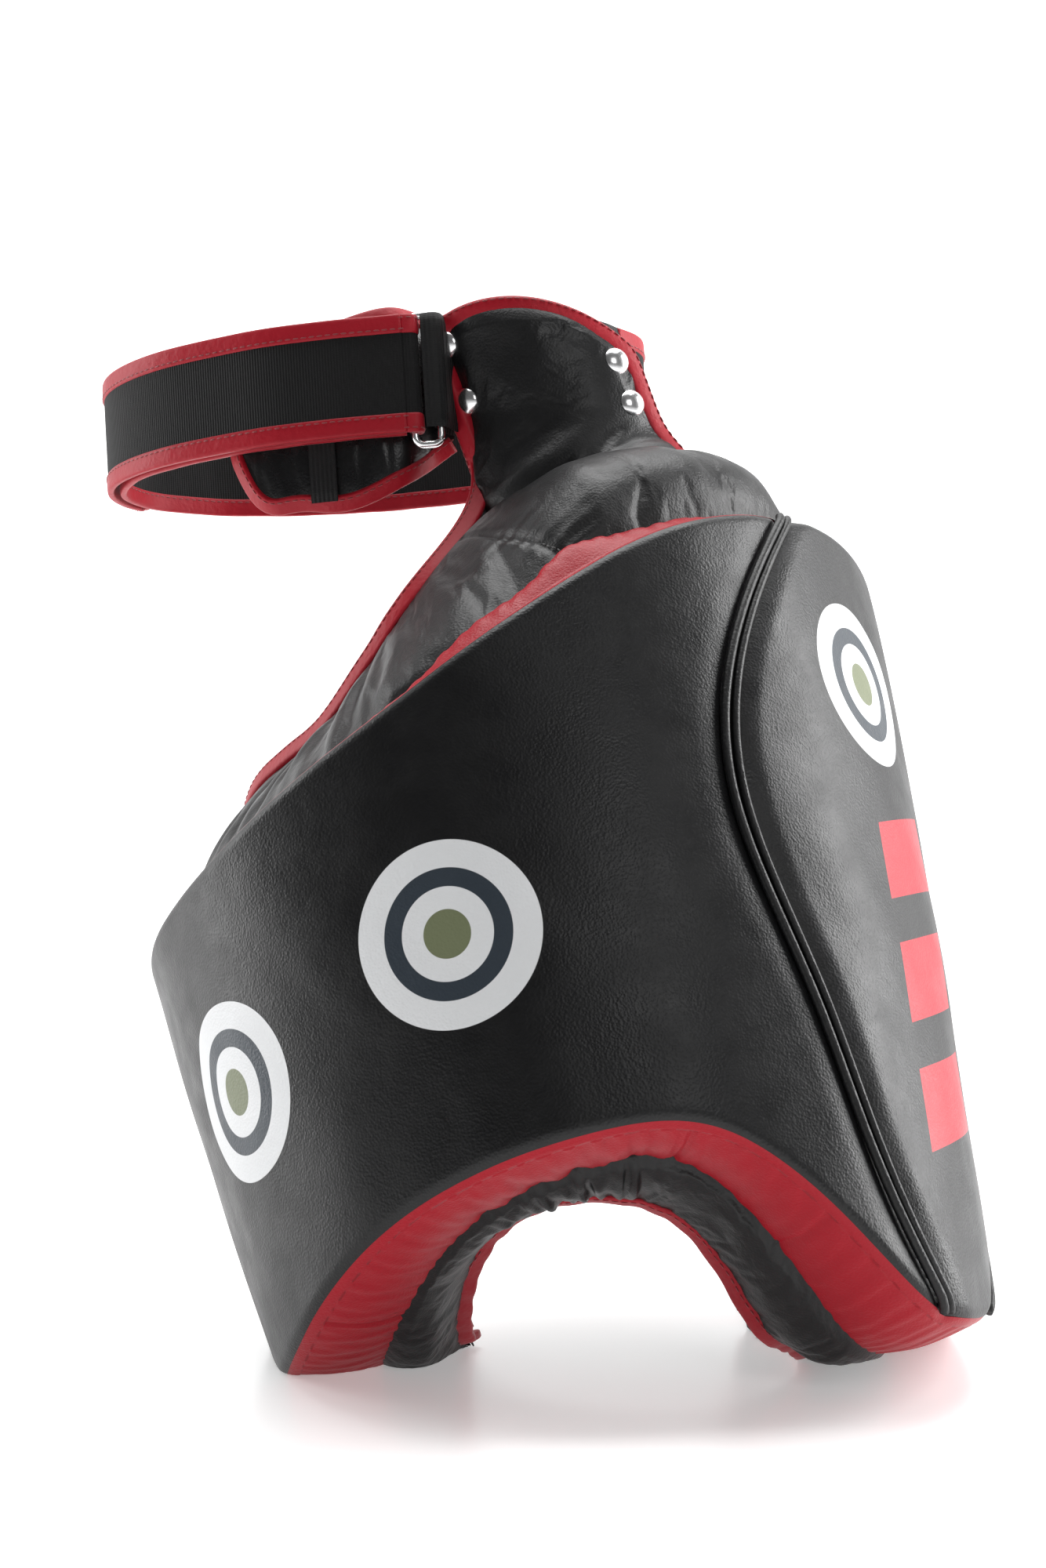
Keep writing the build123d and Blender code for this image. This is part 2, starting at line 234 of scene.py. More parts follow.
def tape(name, path, facing, width, thick, sides=20, square=0.45, closed=False):
    """Binding or webbing swept along a path; facing is the direction its flat side faces at each point."""
    run = unit(np.gradient(path, axis=0)) if not closed else unit(np.roll(path, -1, 0) - np.roll(path, 1, 0))
    across = unit(np.cross(run, facing))
    normal = unit(np.cross(across, run))
    turn = np.linspace(0, 2 * math.pi, sides, endpoint=False)
    a = np.sign(np.cos(turn)) * np.abs(np.cos(turn)) ** square * width / 2000
    b = np.sign(np.sin(turn)) * np.abs(np.sin(turn)) ** square * thick / 2000
    points = path[:, None] + across[:, None] * a[:, None] + normal[:, None] * b[:, None]
    if not closed:
        points = np.concatenate([path[:1, None] + 0 * points[:1], points, path[-1:, None] + 0 * points[:1]])
    return grid(name, points, wrap_u=closed, wrap_v=True), across, normal


def tube(name, path, radius, sides=12, closed=False):
    facing = np.tile([0.31, 0.17, 0.93], (len(path), 1))
    return tape(name, path, facing, 2 * radius, 2 * radius, sides, 1.0, closed)[0]


def stitches(name, path, normal, pitch=4.0, length=3.0, size=0.7):
    """A row of thread stitches lying on a surface."""
    spots = resample(path, pitch / 1000)
    base = np.concatenate([[0], np.cumsum(np.linalg.norm(np.diff(path, axis=0), axis=1))])
    want = np.linspace(0, base[-1], len(spots))
    up = unit(np.stack([np.interp(want, base, normal[:, i]) for i in range(3)], -1))
    run = unit(np.gradient(spots, axis=0))
    side = np.cross(up, run)
    verts, faces = [], []
    for p, r, s, n in zip(spots, run, side, up):
        start = len(verts)
        for along, wide in ((-0.5, 0.25), (-0.32, 0.9), (0.0, 1.0), (0.32, 0.9), (0.5, 0.25)):
            for turn in range(6):
                c, d = math.cos(turn * math.pi / 3), math.sin(turn * math.pi / 3)
                lift = d * size * wide / 2000
                verts.append(p + r * along * length / 1000 + s * c * size * wide / 2000 + n * lift)
        for ring in range(4):
            for turn in range(6):
                a, b = start + ring * 6 + turn, start + ring * 6 + (turn + 1) % 6
                faces.append((a, b, b + 6, a + 6))
    return mesh(name, verts, faces)


# Materials
def shader(name, color, rough, **sockets):
    mat = bpy.data.materials.new(name)
    mat.use_nodes = True
    nodes, links = mat.node_tree.nodes, mat.node_tree.links
    main = nodes["Principled BSDF"]
    main.inputs["Base Color"].default_value = (*color, 1)
    main.inputs["Roughness"].default_value = rough
    for key, value in sockets.items():
        main.inputs[key.replace("_", " ")].default_value = value
    return mat, nodes, links, main


def bump(nodes, links, main, height, strength, distance):
    node = nodes.new("ShaderNodeBump")
    node.inputs["Strength"].default_value = strength
    node.inputs["Distance"].default_value = distance
    links.new(height, node.inputs["Height"])
    previous = main.inputs["Normal"].links
    if previous:
        links.new(previous[0].from_socket, node.inputs["Normal"])
    links.new(node.outputs["Normal"], main.inputs["Normal"])
    return node


def maths(nodes, links, kind, a, b=None, c=None, clamp=False):
    node = nodes.new("ShaderNodeMath")
    node.operation = kind
    node.use_clamp = clamp
    for socket, value in zip(node.inputs, (a, b, c)):
        if value is None:
            continue
        if isinstance(value, (int, float)):
            socket.default_value = value
        else:
            links.new(value, socket)
    return node.outputs[0]


def leather(name, color, rough=0.42, grain=0.5, crinkle=0.25, **sockets):
    """Synthetic leather: fine pebble grain over soft, wide creasing."""
    mat, nodes, links, main = shader(name, color, rough, **sockets)
    coord = nodes.new("ShaderNodeTexCoord").outputs["Object"]
    main.inputs["Specular IOR Level"].default_value = 0.22 if color[0] > 0.1 else 0.34
    cells = nodes.new("ShaderNodeTexVoronoi")
    cells.feature = "SMOOTH_F1"
    cells.inputs["Scale"].default_value = 900
    cells.inputs["Smoothness"].default_value = 0.6
    links.new(coord, cells.inputs["Vector"])
    wide = nodes.new("ShaderNodeTexNoise")
    wide.inputs["Scale"].default_value = 55
    wide.inputs["Detail"].default_value = 6
    wide.inputs["Roughness"].default_value = 0.62
    links.new(coord, wide.inputs["Vector"])
    bump(nodes, links, main, cells.outputs["Distance"], grain, 0.00035)
    bump(nodes, links, main, wide.outputs["Fac"], crinkle, 0.0016)
    patchy = nodes.new("ShaderNodeMapRange")
    patchy.inputs["From Min"].default_value = 0.3
    patchy.inputs["From Max"].default_value = 0.7
    patchy.inputs["To Min"].default_value = rough - 0.05
    patchy.inputs["To Max"].default_value = rough + 0.07
    links.new(wide.outputs["Fac"], patchy.inputs["Value"])
    links.new(patchy.outputs["Result"], main.inputs["Roughness"])
    return mat, nodes, links, main, coord


BLACK = (0.0045, 0.0045, 0.0050)
RED = (0.33, 0.005, 0.014)
RED_TAPE = (0.34, 0.004, 0.014)


def plane_axes(point, along):
    """Two directions lying in the strike face at a point of the leg frame."""
    angle, height = point
    here = leg(angle, face_radius(height), height)
    t1 = unit(leg(angle + 0.1, face_radius(height), height) - here)
    t2 = unit(leg(angle, face_radius(height + 1), height + 1) - here)
    c, s = math.cos(math.radians(along)), math.sin(math.radians(along))
    return here, c * t1 + s * t2, c * t2 - s * t1


def printed(name, prints):
    """Black strike leather with flat prints: ring targets and slanted bars."""
    mat, nodes, links, main, coord = leather(name, BLACK, 0.40, 0.42, 0.2)

    def flat(point, along):
        here, t1, t2 = plane_axes(point, along)
        shift = nodes.new("ShaderNodeVectorMath")
        shift.operation = "SUBTRACT"
        links.new(coord, shift.inputs[0])
        shift.inputs[1].default_value = here
        axes = []
        for t in (t1, t2):
            dot = nodes.new("ShaderNodeVectorMath")
            dot.operation = "DOT_PRODUCT"
            links.new(shift.outputs[0], dot.inputs[0])
            dot.inputs[1].default_value = t
            axes.append(dot.outputs["Value"])
        away = nodes.new("ShaderNodeVectorMath")
        away.operation = "LENGTH"
        links.new(shift.outputs[0], away.inputs[0])
        return axes, away.outputs["Value"]

    def inside(value, limit, soft=0.00025):
        gap = maths(nodes, links, "SUBTRACT", limit, value)
        return maths(nodes, links, "MULTIPLY_ADD", gap, 1 / soft, 0.5, clamp=True)

    color = None
    ink = None

    def paint(mask, tint):
        nonlocal color, ink
        mix = nodes.new("ShaderNodeMix")
        mix.data_type = "RGBA"
        links.new(mask, mix.inputs["Factor"])
        if color is None:
            mix.inputs["A"].default_value = (*BLACK, 1)
        else:
            links.new(color, mix.inputs["A"])
        mix.inputs["B"].default_value = (*tint, 1)
        color = mix.outputs["Result"]
        ink = mask if ink is None else maths(nodes, links, "MAXIMUM", ink, mask)

    for kind, point, along, size in prints:
        (x, y), away = flat(point, along)
        near = inside(away, 0.09, 0.002)
        if kind == "target":
            x2 = maths(nodes, links, "MULTIPLY", x, x)
            r = maths(nodes, links, "SQRT", maths(nodes, links, "MULTIPLY_ADD", y, y, x2))
            disc = maths(nodes, links, "MULTIPLY", inside(r, size), near)
            paint(disc, (0.72, 0.73, 0.74))
            ring = maths(nodes, links, "MULTIPLY", inside(r, size * 0.70), near)
            paint(ring, (0.030, 0.040, 0.052))
            paint(maths(nodes, links, "MULTIPLY", inside(r, size * 0.50), near), (0.72, 0.73, 0.74))
            paint(maths(nodes, links, "MULTIPLY", inside(r, size * 0.26), near), (0.16, 0.18, 0.10))
        else:
            wide, tall, slant = size
            sx = maths(nodes, links, "ABSOLUTE", x)
            lean = maths(nodes, links, "MULTIPLY_ADD", x, slant, y)
            sy = maths(nodes, links, "ABSOLUTE", lean)
            bar = maths(nodes, links, "MULTIPLY", inside(sx, wide / 2), inside(sy, tall / 2))
            paint(maths(nodes, links, "MULTIPLY", bar, near), (0.55, 0.012, 0.025))
    links.new(color, main.inputs["Base Color"])
    return mat


def woven(name, color, ribs=700, rough=0.75, across=True, sheen=0.06):
    """Ribbed elastic or webbing."""
    mat, nodes, links, main = shader(name, color, rough)
    main.inputs["Sheen Weight"].default_value = sheen
    main.inputs["Specular IOR Level"].default_value = 0.25
    main.inputs["Sheen Roughness"].default_value = 0.4
    uv = nodes.new("ShaderNodeUVMap")
    split = nodes.new("ShaderNodeSeparateXYZ")
    links.new(uv.outputs[0], split.inputs[0])
    first, second = (split.outputs[0], split.outputs[1]) if across else (split.outputs[1], split.outputs[0])
    rib = maths(nodes, links, "SINE", maths(nodes, links, "MULTIPLY", first, ribs * 2 * math.pi))
    weave = maths(nodes, links, "SINE", maths(nodes, links, "MULTIPLY", second, 1400 * 2 * math.pi))
    both = maths(nodes, links, "MULTIPLY_ADD", weave, 0.35, rib)
    bump(nodes, links, main, both, 0.5, 0.00025)
    return mat


def tape_material(name, color=RED_TAPE):
    """Woven binding tape with a slight sheen."""
    mat, nodes, links, main = shader(name, color, 0.5)
    main.inputs["Sheen Weight"].default_value = 0.06
    main.inputs["Specular IOR Level"].default_value = 0.3
    main.inputs["Sheen Roughness"].default_value = 0.4
    coord = nodes.new("ShaderNodeTexCoord").outputs["Object"]
    noise = nodes.new("ShaderNodeTexNoise")
    noise.inputs["Scale"].default_value = 420
    noise.inputs["Detail"].default_value = 4
    links.new(coord, noise.inputs["Vector"])
    bump(nodes, links, main, noise.outputs["Fac"], 0.45, 0.0006)
    puckers = nodes.new("ShaderNodeTexNoise")
    puckers.inputs["Scale"].default_value = 120
    puckers.inputs["Detail"].default_value = 2
    links.new(coord, puckers.inputs["Vector"])
    bump(nodes, links, main, puckers.outputs["Fac"], 0.35, 0.0015)
    return mat


PRINT_FRONT = [("target", (-11.6, -46), 3, 0.0395), ("target", (-53.9, -67), 3, 0.0395)]
PRINT_SIDE = [("target", (62, 58), 0, 0.040)] + [
    ("bar", (67.5, -22 - 56 * i), 0, (0.062, 0.036, -0.30)) for i in range(3)]
mats = {
    "front": printed("strike_leather_printed", PRINT_FRONT),
    "side": printed("side_leather_printed", PRINT_SIDE),
    "rear": leather("strike_leather", BLACK, 0.40, 0.42, 0.2)[0],
    "soft": leather("cushion_leather", (0.0042, 0.0042, 0.0046), 0.42, 0.35, 0.35)[0],
    "neck": leather("neck_leather", (0.0075, 0.0075, 0.0080), 0.38, 0.3, 0.18)[0],
    "gloss": leather("flap_leather", (0.0055, 0.0055, 0.006), 0.27, 0.2, 0.3)[0],
    "red": leather("red_leather", RED, 0.40, 0.4, 0.25)[0],
    "tape": tape_material("red_binding_tape"),
    "thread": shader("red_thread", (0.22, 0.006, 0.012), 0.6, Sheen_Weight=0.3)[0],
    "dark_thread": shader("black_thread", (0.01, 0.01, 0.01), 0.55, Sheen_Weight=0.3)[0],
    "elastic": woven("ribbed_elastic", (0.0048, 0.0048, 0.0052)),
    "webbing": woven("black_webbing", (0.0055, 0.0055, 0.006), 450, 0.62),
    "pile": woven("hook_and_loop_pile", (0.011, 0.011, 0.012), 900, 0.9, sheen=0.5),
    "lining": woven("lining_cloth", (0.014, 0.014, 0.015), 500, 0.7),
    "chrome": shader("polished_steel", (0.90, 0.90, 0.91), 0.24, Metallic=1.0)[0],
}


def finish_piece(obj, look, body, *nodes, slot=None, padded=None):
    obj.data.materials.clear()
    obj.data.materials.append(mats[look])
    if body:
        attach(obj, body)
    if nodes:
        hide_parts(*nodes)
    return obj


def to_floor(points, gap=0.0004):
    """Soft pieces settle flat on the floor."""
    points = np.array(points)
    low = points[..., 2]
    points[..., 2] = np.where(low < gap, gap, low)
    return points


def inflated(obj, shape, pressure, growth, cap):
    """Cloth held along its four seams, a little too large for them, pressed out by the foam under it."""
    index = np.arange(shape[0] * shape[1]).reshape(shape)
    held = np.concatenate([index[0], index[-1], index[:, 0], index[:, -1]])
    group = obj.vertex_groups.new(name="seams")
    group.add([int(v) for v in held], 1.0, "REPLACE")
    before = np.empty(len(obj.data.vertices) * 3)
    obj.data.vertices.foreach_get("co", before)
    cloth = obj.modifiers.new("cloth", "CLOTH")
    cloth.settings.quality = 5
    cloth.settings.mass = 0.2
    cloth.settings.tension_stiffness = 15
    cloth.settings.compression_stiffness = 15
    cloth.settings.shear_stiffness = 5
    cloth.settings.bending_stiffness = 0.2
    cloth.settings.shrink_min = -growth
    cloth.settings.use_pressure = True
    cloth.settings.uniform_pressure_force = pressure
    cloth.settings.effector_weights.gravity = 0
    cloth.settings.vertex_group_mass = "seams"
    cloth.point_cache.frame_end = 20
    for frame_number in range(1, 21):
        bpy.context.scene.frame_set(frame_number)
    solved = obj.evaluated_get(bpy.context.evaluated_depsgraph_get())
    after = np.empty_like(before)
    solved.data.vertices.foreach_get("co", after)
    obj.modifiers.remove(cloth)
    bpy.context.scene.frame_set(1)
    move = (after - before).reshape(-1, 3) * 1000
    size = np.linalg.norm(move, axis=1, keepdims=True)
    print("cloth", obj.name, "mean", float(size.mean()), "most", float(size.max()))
    move = move * cap * np.tanh(size / cap) / np.maximum(size, 1e-9)
    settled = to_floor(before.reshape(-1, 3) + move / 1000)
    obj.data.vertices.foreach_set("co", settled.ravel())
    obj.data.update()
    smooth = obj.modifiers.new("subdivision", "SUBSURF")
    smooth.levels = 1
    smooth.render_levels = 1
    return obj


FOAM_STRIPS = [f"cushion_foam_{i + 1}" for i in range(8)]

# Striking block
phi = np.linspace(-100, 140, 641)[:, None]
ROUND = 7.0


def end_round(angle, depth=ROUND, start=-100, end=140):
    """How far the face draws in at the block's two ends."""
    near = np.minimum(angle - start, end - angle) * math.pi / 180 * 175
    x = np.clip(1 - near / depth, 0, 1)
    return depth * (1 - np.sqrt(1 - x ** 2))


def seam_distance(angle, height):
    """Distance from the side panel's seam in mm, negative inside the panel."""
    slope = (panel_half(height + 2) - panel_half(height - 2)) / 4 * 3.2
    arc = (np.abs(angle - 68) - panel_half(height)) * math.pi / 180 * face_radius(height)
    return arc / np.sqrt(1 + slope ** 2)


def face_depth(angle, height):
    """Depth of the strike leather below the nominal face: the seam's groove and the padded side panel."""
    d = seam_distance(angle, height)
    groove = 2.6 * np.exp(-(d / 3.2) ** 2)
    raised = 3.2 * step(0, 16, -d)
    puff = 1.2 * step(0, 18, d)
    low = 0.7 * folds(angle * 3.1, height, 5, 120, 4)
    return groove - raised - puff - low + 1.2


corner = np.radians(np.linspace(45, 0, 6))[None, :]
rows = np.linspace(0, 1, 130)[None, 1:-1]
low_edge, high_edge = arch_edge(phi), top_edge(phi)
span = (low_edge + ROUND) * (1 - rows) + (high_edge - ROUND) * rows
bottom_h = low_edge + ROUND - ROUND * np.sin(corner)
top_h = high_edge - ROUND + ROUND * np.sin(corner[:, ::-1])
heights = np.concatenate([bottom_h, span, top_h], 1)
cut = ROUND * (1 - np.cos(corner))
depths = np.concatenate([cut + 0 * phi, 0 * span, cut[:, ::-1] + 0 * phi], 1)
depths = depths + face_depth(phi, heights) + end_round(phi)
face_points = leg(phi, face_radius(heights) - depths, heights)
face_points = to_floor(face_points)
signed = seam_distance(phi, heights)


def face_part(name, keep):
    """The faces of the strike leather whose corners all lie in one panel."""
    nu, nv = keep.shape
    index = np.arange(nu * nv).reshape(nu, nv)
    quads = np.stack([index[:-1, :-1], index[1:, :-1], index[1:, 1:], index[:-1, 1:]], -1).reshape(-1, 4)
    quads = quads[keep.reshape(-1)[quads].all(1)]
    used, back = np.unique(quads, return_inverse=True)
    angle = np.broadcast_to(phi, keep.shape).reshape(-1)[used]
    uv = np.stack([np.radians(angle) * 0.18, heights.reshape(-1)[used] / 1000], -1)
    return mesh(name, face_points.reshape(-1, 3)[used], back.reshape(quads.shape).tolist(), uv)


front_panel = face_part("strike_panel_front_leather", (signed > -1.2) & (phi < 68))
finish_piece(front_panel, "front", "pad", "strike_panel_front")
side_panel = face_part("outer_side_panel_leather", signed < 1.2)
finish_piece(side_panel, "side", "pad", "outer_side_panel")
rear_panel = face_part("strike_panel_rear_leather", (signed > -1.2) & (phi > 68))
finish_piece(rear_panel, "rear", "pad", "strike_panel_rear")

# Piping on both sides of the side panel: two ridges with a stitched groove between them
for side, node in ((-1, "piping_front"), (1, "piping_rear")):
    hs = np.linspace(-232, 160, 400)
    ang = 68 + side * panel_half(hs)
    inside = (hs > arch_edge(ang) + 1.5) & (hs < top_edge(ang) - 1.0)
    hs, ang = hs[inside], ang[inside]
    foot_gap = np.maximum(ROUND - (hs - arch_edge(ang)), 0)
    head_gap = np.maximum(ROUND - (top_edge(ang) - hs), 0)
    ends = foot_gap ** 2 + head_gap ** 2
    dip = ends / (2 * ROUND) * 1.15
    across = 180 / math.pi / face_radius(hs)
    for kind, off, size, lift in (("cord", 2.7, 2.1, 0.6), ("fold", -2.5, 1.9, 0.9)):
        a = ang + side * off * across
        path = leg(a, face_radius(hs) - dip + lift, hs)
        ridge = tube(f"{node}_{kind}", resample(path, 0.0025), size)
        finish_piece(ridge, "rear", "pad", *((node,) if kind == "cord" else ()), slot="black_piping")
    path = leg(ang, face_radius(hs) - dip - 0.9, hs)
    away = leg(ang, face_radius(hs) + 5, hs) - path
    finish_piece(stitches(f"{node}_stitches", path, unit(away), 4.2, 3.0, 0.8), "dark_thread", "pad")

# Red gussets
GUSSET_TOP_DEPTH = 26
swell = smooth_line([(-110, 1), (-40, 2.5), (0, 9), (15, 13), (35, 5), (60, 2.5), (150, 2)])
bow = np.radians(np.linspace(45, 90, 6))[None, :]
t = np.linspace(0, 1, 26)[None, :]
scallop = 0.80 + 0.20 * pleats(phi, t, 11, 13, 0.5, 3)
rise = 1.45 * swell(phi) * np.sin(math.pi * np.minimum(t * 1.25, 1) * 0.75) * scallop
wrinkle = 0.5 * folds(phi, t * 6, 12, 3.2) * step(0, 0.3, t) * step(0, 3, swell(phi) - 1)
turned = ROUND * (1 - np.cos(bow)) + 0 * phi
depth = np.concatenate([turned, ROUND + (GUSSET_TOP_DEPTH - ROUND) * t + 0 * phi], 1)
height = np.concatenate([high_edge - ROUND + ROUND * np.sin(bow), high_edge + rise + wrinkle], 1)
keep = np.clip(face_depth(phi, high_edge), -4, 3) * (1 - step(0, 12, depth))
gusset = to_floor(leg(phi, face_radius(height) - depth - keep - end_round(phi), height))
finish_piece(grid("gusset_top_leather", gusset, flip=False), "red", "pad", "gusset_top")

t = np.linspace(0, 1, 40)[None, :]
seams = sum(np.exp(-((phi - a) / 0.35) ** 2) for a in (-54, 15, 34.5, 75))
sag = 2.4 * np.sin(math.pi * t) + 1.5 * folds(phi, t * 8, 21, 8, 5) * hump(phi, -25, 10, 6) * t
sag = sag + 0.35 * folds(phi, t * 5, 22, 3.5) - 1.5 * seams
depth = np.concatenate([ROUND * (1 - np.cos(bow)) + 0 * phi, ROUND + (45.5 - ROUND) * t + 0 * phi], 1)
height = np.concatenate([low_edge + ROUND - ROUND * np.sin(bow), low_edge - sag], 1)
keep = np.clip(face_depth(phi, low_edge), -4, 3) * (1 - step(0, 12, depth))
gusset = to_floor(leg(phi, face_radius(height) - depth - keep - end_round(phi), height))
finish_piece(grid("gusset_arch_leather", gusset, flip=True), "red", "pad", "gusset_arch")

for name, angle in (("gusset_inner_end", -100), ("gusset_rear_end", 140)):
    s = np.linspace(0, 1, 40)[:, None]
    d = np.linspace(0, 1, 16)[None, :]
    h = arch_edge(angle) * (1 - s) + top_edge(angle) * s
    out = math.copysign(1.0, angle) * 0.4 * np.sin(math.pi * d) * np.sin(math.pi * s)
    points = leg(angle + out, face_radius(h) - ROUND - (45 - ROUND) * d - 0 * s, h)
    finish_piece(grid(name + "_leather", to_floor(points)), "red", "pad", name)

# Cushion: sloping collar above the block, thick lower edge below it, lining next to the leg
cphi = np.linspace(-97, 137, 521)[:, None]
t = np.linspace(0, 1, 44)[None, :]
shoulder = hump(cphi, 16, 62, 8)
edge_h, rim_h = top_edge(cphi), rim_top(cphi)
r0, h0 = face_radius(edge_h) - 20, edge_h + 1.0
r1, h1 = face_radius(rim_h) - 84 + rim_out(cphi), rim_h - 3 - rim_drop(cphi)
dr, dh = r1 - r0, h1 - h0
size = np.sqrt(dr ** 2 + dh ** 2)
out_r, out_h = dh / size, -dr / size
gather = hump(cphi, -92, -14, 12)
belly = (6 + 21 * shoulder + 3 * hump(cphi, -20, 10, 10)) * np.sin(math.pi * t ** (0.62 + 0.14 * shoulder))
edge_fade = np.sin(math.pi * np.clip(t, 0, 1)) ** 0.7
fine = pleats(cphi, t * 3, 31, 4.2) * (0.15 + 1.25 * gather)
broad = pleats(cphi, t * 5, 32, 9.5) * (0.5 + 1.1 * gather)
seam_at = 3 + 14 * (1 - t) ** 0.8
seam = np.exp(-((cphi - seam_at) / 0.7) ** 2) + 0.35 * np.exp(-((cphi - seam_at) / 2.2) ** 2)
pucker = 0.9 * pleats(t * 30, 0 * cphi, 33, 3.1) * np.exp(-((cphi - seam_at) / 5.0) ** 2) * (1 - t)
push = belly + (fine + broad + pucker) * edge_fade - 2.0 * seam * edge_fade ** 0.5
push = push + 2.2 * np.minimum(t * 9, 1) - 2.2
r = r0 + dr * t + out_r * push
h = h0 + dh * t + out_h * push
collar = to_floor(leg(cphi, r, h))
collar_piece = inflated(grid("cushion_collar", collar), collar.shape[:2], 2.4, 0.012, 5)
finish_piece(collar_piece, "soft", "pad", "cushion_cover", *FOAM_STRIPS, padded=0.75)
seam_t = np.linspace(0.04, 0.9, 140)
columns = np.interp(3 + 14 * (1 - seam_t) ** 0.8, cphi[:, 0], np.arange(len(cphi)))
picked = collar[columns.round().astype(int), (seam_t * 43).round().astype(int)]
away = unit(picked - LEG_O / 1000 - ((picked - LEG_O / 1000) @ LEG_W)[:, None] * LEG_W) + LEG_W
seam_line = eased(resample(picked + away * 0.0012, 0.008), 2)
finish_piece(stitches("cushion_seam_stitches", seam_line, unit(away[:1] + 0 * seam_line), 3.4, 2.5, 0.7),
             "dark_thread", "pad")

low_h, inner_h = arch_edge(cphi), rim_arch(cphi)
r0, h0 = face_radius(low_h) - 44, low_h - 0.6
r1, h1 = face_radius(inner_h) - 84, inner_h
dr, dh = r1 - r0, h1 - h0
size = np.sqrt(dr ** 2 + dh ** 2)
out_r, out_h = dh / size, -dr / size
belly = (5 + 4 * hump(cphi, 24, 60, 8) + 6 * (1 - step(-70, -45, cphi))) * np.sin(math.pi * t ** 0.85)
gather = hump(cphi, -24, 12, 7)
fine = pleats(cphi, t * 3, 41, 2.9) * (0.12 + 1.2 * gather)
broad = pleats(cphi, t * 5, 42, 8) * (0.5 + 0.8 * gather)
push = belly + (fine + broad) * edge_fade + 1.6 * np.minimum(t * 8, 1) - 1.6
r = r0 + dr * t - out_r * push
h = h0 + dh * t - np.abs(out_h) * push
lower = to_floor(leg(cphi, r, h))
lower_piece = inflated(grid("cushion_lower_edge", lower, flip=True), lower.shape[:2], 1.6, 0.012, 4)
finish_piece(lower_piece, "soft", "pad", padded=0.75)

t = np.linspace(0, 1, 60)[None, :]
liner_h = inner_h * (1 - t) + (rim_h - 2 - rim_drop(cphi)) * t
ripple = 1.2 * folds(cphi, liner_h / 4, 51, 14, 4) * np.sin(math.pi * t) ** 0.4
liner_r = face_radius(liner_h) - 86.5 + rim_out(cphi) * t ** 3 - ripple
finish_piece(grid("thigh_lining", to_floor(leg(cphi, liner_r, liner_h)), flip=True), "lining", "pad",
             "thigh_liner",
             padded=0.75)
for angle in (-97, 137):
    s = np.linspace(0, 1, 60)[:, None]
    d = np.linspace(0, 1, 20)[None, :]
    outer_h = (low_h[0] if angle < 0 else low_h[-1]) * (1 - s) + (edge_h[0] if angle < 0 else edge_h[-1]) * s
    in_h = (inner_h[0] if angle < 0 else inner_h[-1]) * (1 - s) + (rim_h[0] if angle < 0 else rim_h[-1]) * s
    in_h = in_h - rim_drop(angle) * s
    hh = outer_h * (1 - d) + in_h * d
    outer_r = face_radius(outer_h) - 20 - 24 * (1 - s)
    in_r = face_radius(in_h) - 85 + rim_out(angle) * s ** 3
    rr = outer_r * (1 - d) + in_r * d
    swellout = math.copysign(3.5, angle) * np.sin(math.pi * d) * np.sin(math.pi * s) ** 0.5
    swellout = swellout + 0.8 * folds(s * 60, d * 8, 61, 9, 4) * np.sin(math.pi * d)
    side_name = "inner" if angle < 0 else "rear"
    finish_piece(grid(f"cushion_{side_name}_end", to_floor(leg(angle + swellout, rr, hh))), "soft", "pad",
                 padded=0.75)


def edged(name, path, facing, width, thick, body, *nodes, row=0.26, pitch=4.0, both=True):
    """Binding tape with its stitch rows."""
    strip, across, normal = tape(name, path, facing, width, thick)
    finish_piece(strip, "tape", body, *nodes)
    made = [strip]
    for way in ((1, -1) if both else (1,)):
        line = path + across * width * row / 1000 + normal * way * thick * 0.5 / 1000
        label = "a" if way > 0 else "b"
        thread = stitches(f"{name}_stitches_{label}", line, normal * way, pitch, pitch * 0.72, 0.75)
        made.append(finish_piece(thread, "thread", body))
    return made


def rim_path(angles, rim, shift):
    h = rim(angles)
    spread = rim_out(angles) if shift > 1 else 0
    r = face_radius(h) - 85 + 0.35 * folds(angles, 0 * angles, 71, 9, 4) + spread
    sink = rim_drop(angles) if shift > 1 else 0
    return to_floor(leg(angles, r, h - sink + shift + 0.35 * folds(angles, 0 * angles, 72, 9, 4)), 0.0052)


ang = np.linspace(-97, 137, 900)
arch_path = resample(rim_path(ang, rim_arch, 0.5), 0.002)
tangent = np.gradient(arch_path, axis=0)
inward = LEG_O / 1000 + ((arch_path - LEG_O / 1000) @ LEG_W)[:, None] * LEG_W - arch_path
edged("arch_binding", arch_path, np.cross(tangent, inward), 9.5, 4.2, "pad", "liner_binding", row=0.3)

ang = np.linspace(-97, -13, 500)
rim_line = rim_path(ang, rim_top, 1.4)
front_end = rim_line[-1]
neck_join = neck(-45.8, 65.5, float(neck_foot(-45)) + 2)
shoulder_edge = joined(front_end, rim_line[-1] - rim_line[-8], neck_join, NECK_W)
rim_line = np.concatenate([resample(rim_line, 0.012)[:-1], shoulder_edge])
rim_line = resample(eased(rim_line, 3), 0.002)
SHOULDER_REACH = 20.0
tuck = np.linspace(0, 1, 14)[None, :, None]
into = (0.9 * LEG_U + 0.35 * np.array([0, 1, 0]) - 0.25 * LEG_W) * SHOULDER_REACH / 1000
shoulder_skin = shoulder_edge[:, None] + tuck * into
finish_piece(grid("cushion_shoulder_leather", shoulder_skin, flip=True), "soft", "pad", padded=0.75)
ang_b = np.linspace(70, 137, 300)
rim_back = resample(rim_path(ang_b, rim_top, 1.4), 0.002)
